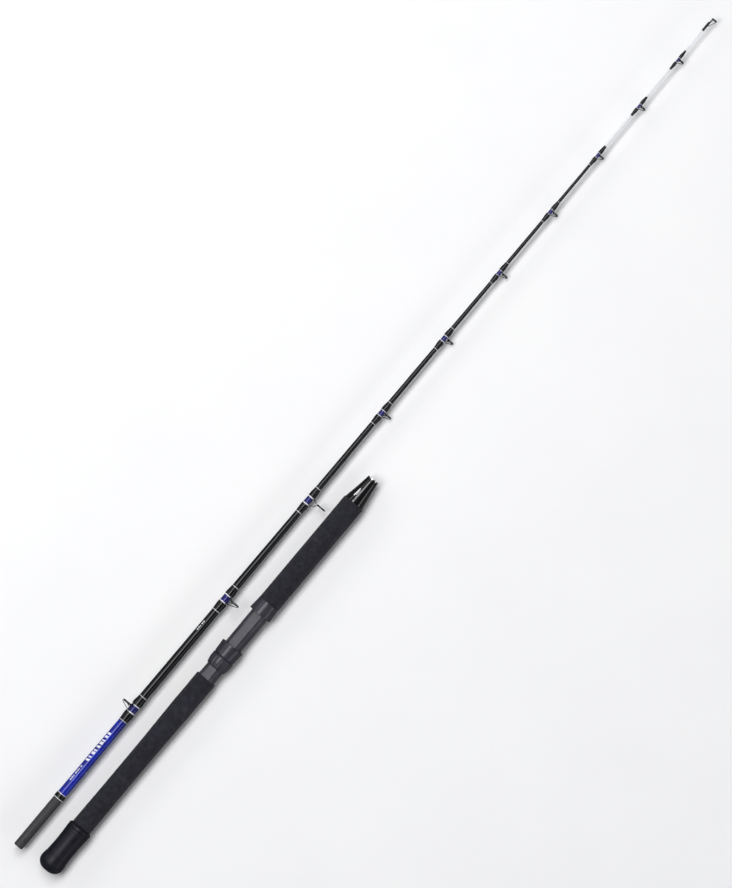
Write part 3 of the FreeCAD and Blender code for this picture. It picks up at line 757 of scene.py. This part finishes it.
# %% The lock nut
NUT_R, NUT_BORE_R, NUT_BACK_DROP = 16.8, 13.5, 2.2
NUT_FLUTES, FLUTE_DEPTH = 12, 0.75
nut_x0, nut_x1 = span("lock_nut", HANDLE)


def nut_shape(x, roll, r):
    """Twelve flutes that run out before both ends, with a fine groove round the front."""
    if r < NUT_BORE_R + 0.9:
        return r
    share = (x - nut_x0) / (nut_x1 - nut_x0)
    run = min(max((share - 0.12) / 0.14, 0.0), 1.0) * min(max((0.86 - share) / 0.1, 0.0), 1.0)
    lobe = max(0.0, math.cos(math.radians(roll * NUT_FLUTES)))
    r -= FLUTE_DEPTH * run * lobe**3
    return r - 0.25 * math.exp(-(((x - nut_x1 + 1.7) / 0.25) ** 2))


nut_back = NUT_R - NUT_BACK_DROP
nut_outside = [(nut_x0, nut_back - 0.9), (nut_x0 + 0.4, nut_back - 0.35)]
for x in stations(nut_x0 + 0.9, nut_x1 - 0.8, 0.3):
    rise = min((x - nut_x0) / (nut_x1 - nut_x0) / 0.7, 1.0)
    nut_outside.append((x, nut_back + NUT_BACK_DROP * math.sin(rise * math.pi / 2)))
nut_outside += [(nut_x1 - 0.35, NUT_R - 0.25), (nut_x1, NUT_R - 0.8)]
piece("lock_nut_fluted", turned(HANDLE, sleeve(nut_outside, NUT_BORE_R), 288, nut_shape), HOOD_SATIN,
      "lock_nut", "lock_nut", slot="graphite_seat")


# %% [markdown]
# ## Hoods, nock, arbors and tube
# These keep their exact frame shape, because it already says all there is to see. A bevel modifier
# rounds their edges, as a mould does, and the flat faces stay flat.

# %% Soften the edges of nodes that stay
def keep(node, material, width=0.25):
    """Show a frame node as it is, with a material and rounded edges."""
    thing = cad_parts[node]
    thing.data.materials.clear()
    thing.data.materials.append(material)
    for face in thing.data.polygons:
        face.use_smooth = True
    if width:
        edge = thing.modifiers.new("rounded edges", "BEVEL")
        edge.width = width * MM
        edge.segments = 3
        edge.limit_method = "ANGLE"
        edge.angle_limit = math.radians(35)
        edge.harden_normals = True
    return thing


for node in ("sliding_hood", "fixed_hood"):
    keep(node, HOOD_SATIN, 0.3)
keep("gimbal_nock", NOCK, 0.3)
keep("seat_arbors", ARBOR, 0.2)
keep("handle_tube", TUBE, 0.1)

# %% [markdown]
# ## The nose and its ring
# A gloss cone brings the grip down to the blank's size, and a bright ring guards its mouth. The
# cone bulges a little, so its outline is an arc. A step near the grip and a fine ring before the
# mouth are cut in, because gloss shows every line.

# %% The nose and its ring
NOSE_BORE_R, NOSE_RING_R = 8.1, 8.85
STEP_DEPTH, RING_DEPTH = 0.22, 0.2
nose_x0, nose_x1 = NOSE_SKIN[0][0], NOSE_SKIN[-1][0]


def nose_shape(x, roll, r):
    """A step near the grip and a fine ring before the mouth."""
    if r < NOSE_BORE_R + 0.3:
        return r
    r -= STEP_DEPTH * math.exp(-(((x - nose_x0 - 4.6) / 0.3) ** 2))
    return r - RING_DEPTH * math.exp(-(((x - nose_x1 + 3.0) / 0.25) ** 2))


nose_outside = [(x, between(NOSE_SKIN, x)) for x in stations(nose_x0, nose_x1, 0.15)]
piece("nose_gloss", turned(HANDLE, sleeve(nose_outside, NOSE_BORE_R), 128, nose_shape), NOSE,
      "handle", "nose_cone", slot="gloss_black")
ring_x0, ring_x1 = span("nose_ring", HANDLE)
mouth = [(ring_x0, NOSE_BORE_R), (ring_x1, NOSE_BORE_R), (ring_x1, NOSE_RING_R), (ring_x0, NOSE_RING_R)]
piece("nose_trim", turned(HANDLE, rounded(mouth, 0.25), 128), SILVER, "handle", "nose_ring",
      slot="silver_thread")

# %% [markdown]
# ## The tip section
# A spigot, a collar of thread, a length of blue lacquer, then bare gloss blank down to the white
# glass tip. All are turned from their tapers. The lacquer is a coat 0.12 mm thick over the blank,
# made as its own thin sleeve, so that its end shows as a real edge.

# %% Spigot, blank, lacquer and glass tip
SPIGOT_R, SPIGOT_BORE_R, PLUG_END = 7.15, 4.6, 132.0
BLANK_START = BLANK[0][0]
spigot_skin = [(0.0, 6.3), (0.35, 6.8), (0.9, 7.08), (1.6, SPIGOT_R)]
spigot_skin += [(x, SPIGOT_R) for x in stations(4.0, BLANK_START, 4.0)]
spigot_skin += [(BLANK_START, 5.59), (PLUG_END, 5.4)]
piece("spigot_sanded", turned(TIP, sleeve(spigot_skin, SPIGOT_BORE_R), 96), SPIGOT, "tip_section",
      "ferrule_spigot", slot="spigot_carbon")
blank_skin = [(x, blank_r(x)) for x in stations(BLANK_START, BLANK_END, 4.0)]
blank_points = blank_skin + [(BLANK_END, 1.2), (BLANK_START, 5.6)]
piece("blank_gloss", turned(TIP, blank_points, 72), CARBON, "tip_section", "carbon_blank", slot="gloss_black")
glass_x0, glass_x1 = span("glass_tip", TIP)
glass_skin = [(x, between(GLASS, x)) for x in stations(BLANK_END + 0.01, glass_x1 - 0.4, 5.0)]
glass_points = [(glass_x0, 0.0), (glass_x0, 1.3), (BLANK_END, 1.2)] + glass_skin
glass_points += [(glass_x1, 0.8), (glass_x1, 0.0)]
piece("glass_tip_white", turned(TIP, glass_points, 48), GLASS_WHITE, "tip_section", "glass_tip",
      slot="white_glass")


def lacquer_r(x):
    return blank_r(x) + LACQUER_OVER


lacquer_x0, lacquer_x1 = span("blue_lacquer", TIP)
lacquer_points = [(x, lacquer_r(x)) for x in stations(lacquer_x0, lacquer_x1, 3.0)]
lacquer_points += [(x, blank_r(x) - 0.02) for x in (lacquer_x1, lacquer_x0)]
piece("lacquer_coat", turned(TIP, lacquer_points, 96), LACQUER, "tip_section", "blue_lacquer",
      slot="blue_lacquer")


# %% [markdown]
# ## Plain marks in place of lettering
# The maker's words are printed on the lacquer, the blank and the nose. Plain bars stand in their
# place. They could be part of the lacquer's look, but a print has its own thickness and gloss, so
# each bar is a small grid laid on the round surface and lifted a hair.

# %% Marks
MARK_CELLS, MARK_LIFT = 6, 0.05


def mark(bm, axis, radius, x0, x1, roll0, roll1, slant=0.0):
    """A thin printed patch, lifted a hair off a round surface."""
    made = bmesh.ops.create_grid(bm, x_segments=MARK_CELLS, y_segments=MARK_CELLS, size=0.5)
    for vert in made["verts"]:
        x, share = x0 + (x1 - x0) * (vert.co.x + 0.5), vert.co.y + 0.5
        vert.co = place(axis, x + slant * share, radius(x) + MARK_LIFT, roll0 + (roll1 - roll0) * share)


def nose_r(x):
    return between(NOSE_SKIN, x)


def dashes(bm, axis, radius, x0, pitch, widths, roll0, roll1, slant=0.0):
    """A row of bars, each as long as its width says."""
    for i, width in enumerate(widths):
        mark(bm, axis, radius, x0 + pitch * i, x0 + pitch * i + width, roll0, roll1, slant)


LONG_BARS = (3.4, 2.2, 4.4, 2.2, 3.4, 4.4, 2.2, 3.4, 3.4)
bm = bmesh.new()
dashes(bm, TIP, lacquer_r, 153.0, 5.9, LONG_BARS, -58.0, -12.0, 1.4)
dashes(bm, TIP, lacquer_r, 118.0, 3.9, (2.9, 2.9, 1.4, 2.9, 2.9, 1.4, 2.9), -46.0, -30.0)
dashes(bm, TIP, blank_r, 392.0, 3.4, (2.4, 2.4, 1.2, 2.4, 2.4), -40.0, -24.0)
unwrap(bm, TIP)
piece("printed_bars", bm, INK, "tip_section")
bm = bmesh.new()
mark(bm, HANDLE, nose_r, 676.0, 689.0, -33.0, -25.0)
mark(bm, HANDLE, nose_r, 678.5, 686.5, -22.0, -18.5)
unwrap(bm, HANDLE)
piece("nose_mark", bm, INK, "handle")

# %% [markdown]
# ## The guides
# Each guide is a wire frame bound on by its two feet. The frame's ring holds a polished ceramic
# ring. They spiral round the blank, so that the line ends up below it. Ten could be placed by hand,
# but their places and turns are in the frame's own boxes, so one loop reads them all.

# %% Where each guide sits
Guide = namedtuple("Guide", "number x ring_x ring_r height roll gap reach")
FRAME_RING = 0.55
TRIM_LENGTH = 1.0
GAP_PAST_RING = 2.4
guides = []
for number in range(1, 11):
    low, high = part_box(f"guide_ring_{number}")
    centre = [(a + b) / 2 for a, b in zip(low, high)]
    dy, dz = TIP.y - centre[1], centre[2] - TIP.z
    ring_r = (high[2] - low[2]) / 2 / MM + FRAME_RING
    wraps = span(f"guide_wraps_{number}", TIP)
    middle, reach = (wraps[0] + wraps[1]) / 2, (wraps[1] - wraps[0]) / 2 + TRIM_LENGTH
    roll = math.degrees(math.atan2(dy, dz))
    ring_x = (centre[0] - TIP.x) / MM
    gap = GAP_PAST_RING + ring_r
    guides.append(Guide(number, middle, ring_x, ring_r, math.hypot(dy, dz) / MM, roll, gap, reach))
for guide in guides:
    print("guide", guide.number, [round(v, 1) for v in guide[1:]])


# %% [markdown]
# ## A guide's frame
# The real frame is stamped and bent from flat steel with a welded ring: two flattened feet, a front
# strip and a rear wire that comes down as a hoop, or as two separate wires on the third guide. Each
# is a path in the guide's own upright plane with a round or flattened section bridged along it.

# %% Build one guide's frame
VEE = 3
FOOT_FLAT = 0.42
WIRE_R = 0.48
HOOP_HALF = 0.7


def foot_half(share):
    """Half the width of a foot, from its heel to its toe."""
    return 1.25 - 0.65 * share


def hoop(axis, x, inner, soft):
    """The frame's ring round the ceramic one."""
    x0, x1, outer = x - HOOP_HALF, x + HOOP_HALF, inner + FRAME_RING
    return turned(axis, rounded([(x0, inner), (x1, inner), (x1, outer), (x0, outer)], soft), 72)


def ceramic_ring(axis, x, outer, half):
    """A ring whose inside is a half round, so that line slides over it."""
    section = [(x - HOOP_HALF, outer), (x + HOOP_HALF, outer), (x + half, outer - 0.15)]
    for t in stations(0, 180, 15):
        turn = math.radians(t)
        section.append((x + half * math.cos(turn), outer - 0.2 - 0.4 * math.sin(turn)))
    return turned(axis, section + [(x - half, outer - 0.15)], 96)


def guide_frame(guide):
    """Feet, front strip, rear wires and ring, in the guide's own upright plane, then rolled."""
    up = place(TIP, 0, 1, guide.roll) - place(TIP, 0)
    aside = Vector((0, up.z, -up.y)) / MM
    up = up / MM

    def at(x, side, height):
        return place(TIP, x) + aside * (side * MM) + up * (height * MM)

    bm = bmesh.new()
    half = guide.gap / 2
    for direction in (-1, 1):
        heel = guide.x + direction * (half + 0.8)
        toe = guide.x + direction * (half + 0.75 * (guide.reach - half))
        path = []
        for x in stations(heel, toe, 1.5):
            share = (x - heel) / (toe - heel)
            top = blank_r(x) + 0.88 - 0.65 * share
            path.append(at(x, 0, top - FOOT_FLAT * foot_half(share)))
        sweep(bm, path, foot_half, 12, FOOT_FLAT, aside)
    front = guide.x + half + 0.9
    ring_low = guide.height - guide.ring_r + FRAME_RING / 2
    base = blank_r(front)
    rise = ring_low - base
    leg = [
        at(front + 0.3, 0, base + 0.3),
        at(front - 0.2, 0, base + 0.2 * rise + 0.2),
        at(guide.ring_x + 0.35 * (front - guide.ring_x), 0, base + 0.6 * rise),
        at(guide.ring_x, 0, ring_low),
    ]
    sweep(bm, smooth_path(leg), lambda share: 1.25 - 0.35 * share, 14, 0.45, aside)
    rear = guide.x - half - 0.5
    low = blank_r(rear) + 0.4
    if guide.number == VEE:
        for side in (-1, 1):
            reach = guide.ring_r - FRAME_RING / 2
            end = at(guide.ring_x, side * reach * math.cos(math.radians(50)),
                     guide.height - reach * math.sin(math.radians(50)))
            middle = at(rear + 0.45 * (guide.ring_x - rear), side * 1.9, low + 0.42 * (guide.height - low))
            start = [at(rear - 0.6, side * 0.8, low), at(rear + 0.3, side * 0.9, low + 0.6)]
            sweep(bm, smooth_path(start + [middle, end]), WIRE_R, 12)
    else:
        crown = guide.height + guide.ring_r - FRAME_RING / 2
        arc_r = guide.ring_r - FRAME_RING / 2
        length = math.hypot(guide.ring_x - rear, crown - low)
        slope = Vector((guide.ring_x - rear, crown - low)) / length

        def on_plane(along, side):
            return at(rear + slope.x * along, side, low + slope.y * along)

        centre = length - arc_r
        tangent = math.degrees(math.asin((arc_r - 0.9) / centre)) if centre > arc_r else 60.0
        bow = [on_plane(centre + arc_r * math.sin(math.radians(t)), arc_r * math.cos(math.radians(t)))
               for t in stations(-tangent, 180 + tangent, 12.0)]
        path = [on_plane(0.0, 0.9)] + [on_plane(0.2 * centre, 0.9 + 0.13 * arc_r)] + bow
        path += [on_plane(0.2 * centre, -0.9 - 0.13 * arc_r), on_plane(0.0, -0.9)]
        sweep(bm, smooth_path(path, 3), WIRE_R, 12, 1.0, up.cross(aside))
    unwrap(bm, TIP)
    centre = place(TIP, 0, guide.height, guide.roll)
    ring_axis = Axis(TIP.x, centre.y, centre.z)
    return joined(bm, hoop(ring_axis, guide.ring_x, guide.ring_r - FRAME_RING, 0.22)), ring_axis


# %% [markdown]
# ## Rings, wraps and trims
# Thread binds each foot down: black over the foot, with silver turns beside the blue band and at
# the toe. A wrap is highest over the foot's heel and falls to a thin rounded toe, and it lies lower
# on the far side of the blank, where there is no foot under it.

# %% Wraps and trims
def wrap_shape(guide):
    """Thread stands highest over the foot and lies lower on the far side of the blank."""
    def shape(x, roll, r):
        base = blank_r(x)
        over = r - base
        if over < 0.1:
            return r
        turn = math.radians(roll - guide.roll)
        return base + over * (0.86 + 0.14 * math.cos(turn))
    return shape


def trim_widths(number):
    """Silver beside the blue band and at the toes, in fewer turns on the smaller guides."""
    return (1.6, 0.8) if number <= 3 else (0.95, 0.6) if number <= 5 else (0.5, 0.5)


def trim(start, end, over):
    """A narrow ring of thread on the blank, with rounded edges."""
    x0, x1 = sorted((start, end))
    r0, r1 = blank_r(x0), blank_r(x1)
    ring = [(x0, r0 - 0.02), (x1, r1 - 0.02), (x1, r1 + over), (x0, r0 + over)]
    return turned(TIP, rounded(ring, 0.1), 72)


def guide_wrap(guide, direction):
    """One wrap: highest over the foot's heel, then a long fall to a thin rounded toe."""
    inner, outer = trim_widths(guide.number)
    near = guide.x + direction * (guide.gap / 2 + inner)
    far = guide.x + direction * (guide.reach - outer)
    outside = []
    for x in stations(near, far, 0.4):
        share = (x - near) / (far - near)
        fall = 0.5 - 0.5 * math.cos(math.pi * min(max((share - 0.3) / 0.7, 0.0), 1.0))
        rise = 1.12 + 0.15 * math.sin(math.pi * min(share / 0.6, 1.0))
        outside.append((x, blank_r(x) + rise * (1 - fall) + 0.32 * fall))
    outside.sort()
    outside[0] = (outside[0][0], outside[0][1] - 0.1)
    outside[-1] = (outside[-1][0], outside[-1][1] - 0.1)
    x0, x1 = outside[0][0], outside[-1][0]
    return turned(TIP, outside + [(x1, blank_r(x1) - 0.02), (x0, blank_r(x0) - 0.02)], 72, wrap_shape(guide))


# %% All ten guides
silver = []
for guide in guides:
    number = guide.number
    bm, ring_axis = guide_frame(guide)
    piece(f"guide_{number}_frame_wire", bm, WIRE, "tip_section", f"guide_frame_{number}", slot="dark_steel")
    low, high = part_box(f"guide_ring_{number}")
    ring = ceramic_ring(ring_axis, guide.ring_x, guide.ring_r - FRAME_RING, (high[0] - low[0]) / 2 / MM)
    piece(f"guide_{number}_ceramic", ring, CERAMIC, "tip_section", f"guide_ring_{number}", slot="ceramic")
    inner, outer = trim_widths(number)
    for direction in (-1, 1):
        heel = guide.x + direction * guide.gap / 2
        toe = guide.x + direction * guide.reach
        silver += [trim(heel, heel + direction * inner, 0.75), trim(toe - direction * outer, toe, 0.25)]
    thread = joined(guide_wrap(guide, -1), guide_wrap(guide, 1))
    piece(f"guide_{number}_thread", thread, BLACK_THREAD, "tip_section", f"guide_wraps_{number}",
          slot="black_thread")

# %% [markdown]
# ## Bands and the collar
# The blue bands between the feet stay as the frame has them. The collar is a longer wrap at the
# spigot's root, which stops the blank from splitting, so it stands highest in its middle. All the
# silver turns are joined into one piece, as they stand for one node.

# %% Bands, trims and the collar
COLLAR_R, COLLAR_CROWN = 7.75, 0.18
keep("blue_bands", BLUE_THREAD, 0.08)
collar = span("collar_wrap", TIP)
silver += [trim(collar[0] - TRIM_LENGTH, collar[0], 0.75), trim(collar[1], collar[1] + TRIM_LENGTH, 0.6)]
piece("silver_thread_rings", joined(*silver), SILVER_THREAD, "tip_section", "silver_trims",
      slot="silver_thread")
print(len(silver), "silver rings")
collar_skin = []
for x in stations(*collar, 0.3):
    off_middle = abs(2 * (x - collar[0]) / (collar[1] - collar[0]) - 1)
    collar_skin.append((x, COLLAR_R - COLLAR_CROWN * off_middle**4))
collar_points = collar_skin + [(collar[1], blank_r(collar[1])), (collar[0], blank_r(collar[0]))]
piece("collar_thread", turned(TIP, collar_points, 96), BLACK_THREAD, "tip_section", "collar_wrap",
      slot="black_thread")

# %% [markdown]
# ## The tip top
# The last guide is a steel tube glued over the glass, with an arm and two braces out to its ring.
# It is built like the other guides: a turned tube, three swept bars, a hoop and a ceramic ring.

# %% The tip top
low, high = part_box("tip_top_ring")
top_x = ((low[0] + high[0]) / 2 - TIP.x) / MM
top_y, top_z = (low[1] + high[1]) / 2, (low[2] + high[2]) / 2
top_roll = math.degrees(math.atan2(TIP.y - top_y, top_z - TIP.z))
top_height = math.hypot(TIP.y - top_y, top_z - TIP.z) / MM
top_r = (high[2] - low[2]) / 2 / MM
tube_x0 = span("tip_top_frame", TIP)[0]
top_axis = Axis(TIP.x, top_y, top_z)
up = (place(TIP, 0, 1, top_roll) - place(TIP, 0)) / MM
aside = Vector((0, up.z, -up.y))


def top_at(x, side, height):
    return place(TIP, x) + aside * (side * MM) + up * (height * MM)


TUBE_LENGTH, TUBE_R, TUBE_BORE_R = 15.0, 1.75, 1.25
end = tube_x0 + TUBE_LENGTH
tube = [(tube_x0, TUBE_BORE_R), (end, 0.0001), (end, TUBE_R), (tube_x0, TUBE_R)]
bm = turned(TIP, rounded(tube, 0.25), 48)
arm = [top_at(end - 2.0, 0, 0.6), top_at(end + 0.6, 0, 0.5), top_at(end + 3.6, 0, 0.7)]
arm.append(top_at(top_x, 0, top_height - top_r - 0.2))
sweep(bm, smooth_path(arm), lambda share: 0.95 - 0.2 * share, 14, 0.8, aside)
for side in (-1, 1):
    brace = [top_at(end - 6.0, side * 0.9, TUBE_R - 0.2), top_at(end - 3.5, side * 1.4, TUBE_R + 0.9),
             top_at(top_x - 0.3, side * 0.8 * top_r, top_height + 0.6 * top_r)]
    sweep(bm, smooth_path(brace), 0.4, 12)
bm = joined(bm, hoop(top_axis, top_x, top_r, 0.2))
piece("tip_top_wire", bm, WIRE, "tip_section", "tip_top_frame", slot="dark_steel")
ring = ceramic_ring(top_axis, top_x, top_r, (high[0] - low[0]) / 2 / MM)
piece("tip_top_ceramic", ring, CERAMIC, "tip_section", "tip_top_ring", slot="ceramic")

# %% [markdown]
# ## The floor
# A sheet of matt paper, wide enough to fill the view from any side. Gloss would mirror it white and
# lose the rod's edges. In a studio, black card lies along both sides; here there is no card, and the
# paper is painted near black for rays that come off a glossy surface: a painted dark reflection.

# %% The floor
DARK_REFLECTION_SHARE = 0.8


def floor_look():
    """Matt paper, faintly cloudy, with a painted dark reflection: gloss mirrors it near black."""
    made, tree, shader = look("pale_floor", Specular_IOR_Level=0.2)
    cloud = grain(tree, 180.0, 3.0)
    glossy = add(tree, "LightPath", out="Is Glossy Ray")
    # painted reflection: rays off a glossy surface see the paper painted near black
    mirrored = add(tree, "Math", (glossy, DARK_REFLECTION_SHARE), operation="MULTIPLY")
    wire_up(
        tree,
        shader,
        Base_Color=painted(tree, "#f4f4f6", (cloud, "#fafafa"), (mirrored, "#101012")),
        Roughness=add(tree, "MapRange", (cloud, 0.3, 0.7, 0.75, 0.9)),
        Normal=relief(tree, (grain(tree, 1.2, 2.0), 0.02)),
    )
    return made


bm = bmesh.new()
bmesh.ops.create_grid(bm, x_segments=1, y_segments=1, size=8.0)
mesh = bpy.data.meshes.new("floor")
bm.to_mesh(mesh)
bm.free()
mesh.materials.append(floor_look())
floor = bpy.data.objects.new("floor", mesh)
bpy.context.scene.collection.objects.link(floor)
print("floor", round(floor.dimensions.x, 1), "m wide")


# %% [markdown]
# ## Lights
# Round gloss parts show the shape of every light as a line along them. One long softbox almost
# overhead draws a single even band down the whole rod. Two weak ones at the sides and one at the
# tip only lift the shadows, and a dim world keeps the blacks black.

# %% Lights
def softbox(name, place_at, aim, size, power):
    light = bpy.data.lights.new(name, "AREA")
    light.shape = "RECTANGLE"
    light.size, light.size_y = size
    light.energy = power
    thing = bpy.data.objects.new(name, light)
    thing.location = place_at
    toward = Vector(aim) - Vector(place_at)
    along = Vector((1, 0, 0))
    z = -toward.normalized()
    x = (along - z * along.dot(z)).normalized()
    y = z.cross(x)
    thing.rotation_euler = Matrix((x, y, z)).transposed().to_euler()
    bpy.context.scene.collection.objects.link(thing)
    return thing


softbox("key", (0.0, 1.15, 3.4), (0, 0, 0), (3.8, 1.3), 118.0)
softbox("side", (0.0, 2.5, 1.5), (0, 0, 0), (3.6, 0.9), 16.0)
softbox("fill", (0.0, -2.6, 1.2), (0, 0, 0), (3.6, 0.8), 20.0)
softbox("end", (2.8, 0.2, 1.3), (0.3, 0, 0), (1.4, 1.4), 6.0)

world = bpy.data.worlds.new("studio")
bpy.context.scene.world = world
world.use_nodes = True
background = world.node_tree.nodes["Background"]
background.inputs["Color"].default_value = linear("#f2f4f8")
background.inputs["Strength"].default_value = 0.13
print(len(bpy.data.lights), "lights")

# %% [markdown]
# ## Camera
# It looks straight down from 7 m through a long lens, so that tall guides hardly lean outwards, and
# it is turned so that the rod runs from the lower left to the upper right.

# %% Camera
CAMERA_HEIGHT = 7.0
PICTURE_HEIGHT = 1.237
PICTURE_TURN = math.radians(-50.0)
PICTURE_X, PICTURE_Y = 741.0, -11.0
camera_data = bpy.data.cameras.new("camera")
camera = bpy.data.objects.new("camera", camera_data)
bpy.context.scene.collection.objects.link(camera)
camera.location = (TIP.x + PICTURE_X * MM, TIP.y + PICTURE_Y * MM, TIP.z + CAMERA_HEIGHT)
camera.rotation_euler = (0.0, 0.0, PICTURE_TURN)
camera_data.sensor_fit = "AUTO"
camera_data.angle = 2 * math.atan(PICTURE_HEIGHT / 2 / CAMERA_HEIGHT)
camera_data.clip_start, camera_data.clip_end = 0.05, 60.0
bpy.context.scene.camera = camera
bpy.context.scene.view_settings.view_transform = "Standard"
print("camera", round(math.degrees(camera_data.angle), 1), "degrees across")
